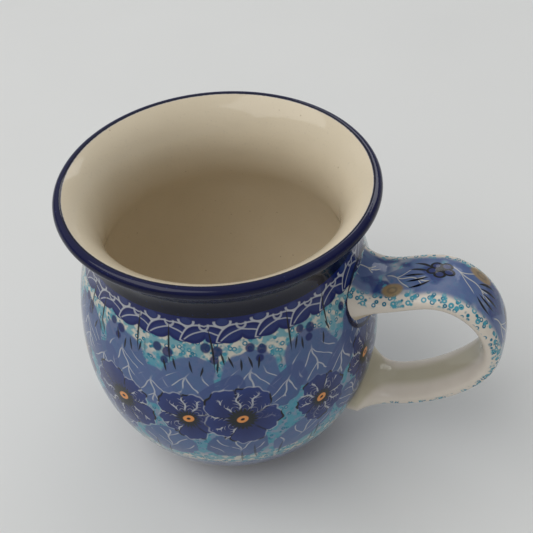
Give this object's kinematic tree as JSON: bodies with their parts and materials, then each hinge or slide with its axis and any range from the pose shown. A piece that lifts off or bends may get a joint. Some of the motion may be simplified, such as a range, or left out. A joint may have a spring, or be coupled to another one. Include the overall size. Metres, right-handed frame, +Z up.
{
  "type": "stoneware mug",
  "caption": "Bellied stoneware mug with a flared navy lip, a strap handle and a blue floral folk decoration under clear glaze.",
  "frame": {"origin": "centre of the foot ring, on the plane that the mug stands on", "axes": "+Z up through the mouth, +X towards the handle, +Y across the handle"},
  "size_m": [0.1401, 0.0996, 0.105],
  "materials": {
    "stoneware_clay": "bare fired stoneware, off-white and finely grained",
    "slip_join": "fired slip, smooth",
    "decorated_glaze": "clear gloss glaze over cobalt, teal and black underglaze painting on cream",
    "navy_glaze": "deep navy gloss glaze",
    "cream_glaze": "cream gloss liner glaze"
  },
  "bodies": {
    "root": {"body_wall": "stoneware_clay", "handle_strap": "stoneware_clay", "upper_slip_bed": "slip_join", "lower_slip_bed": "slip_join", "exterior_glaze": "decorated_glaze", "lip_glaze": "navy_glaze", "interior_glaze": "cream_glaze", "handle_glaze": "decorated_glaze", "base_glaze": "cream_glaze"}
  },
  "joints": []
}
